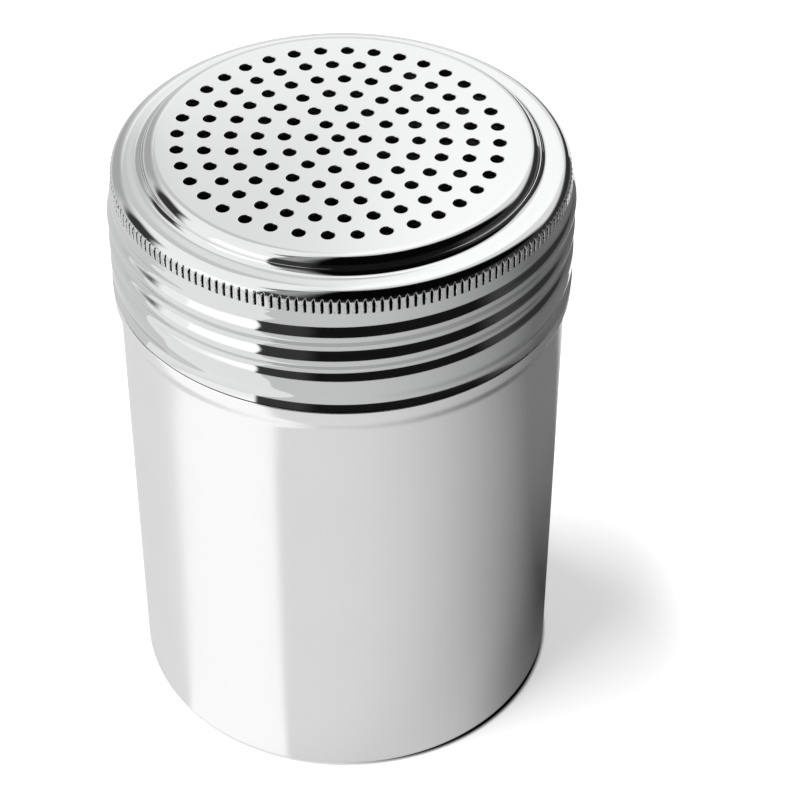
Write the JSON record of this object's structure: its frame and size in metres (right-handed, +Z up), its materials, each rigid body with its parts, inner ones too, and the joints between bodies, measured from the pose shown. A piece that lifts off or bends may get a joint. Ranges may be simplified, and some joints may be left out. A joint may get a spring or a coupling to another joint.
{
  "type": "spice shaker",
  "caption": "Round steel spice shaker: a straight drawn can with a threaded neck and a screw lid with a perforated raised deck, a knurled band and a rolled thread.",
  "frame": {"origin": "centre of the circle that the can stands on, on the surface it rests on", "axes": "+Z up through the perforated deck, -Y towards the front where the thread crests were measured"},
  "size_m": [0.069, 0.069, 0.0985],
  "materials": {
    "satin_steel": "satin drawn stainless steel, soft broad reflections",
    "polished_steel": "polished stamped stainless steel, clear reflections"
  },
  "bodies": {
    "can": {"can": "satin_steel"},
    "lid": {"perforated_lid": "polished_steel"}
  },
  "joints": [
    {"name": "lid_lift", "type": "slide", "parent": "can", "child": "lid", "axis": [0, 0, 1], "range_m": [0, 0.085]}
  ]
}
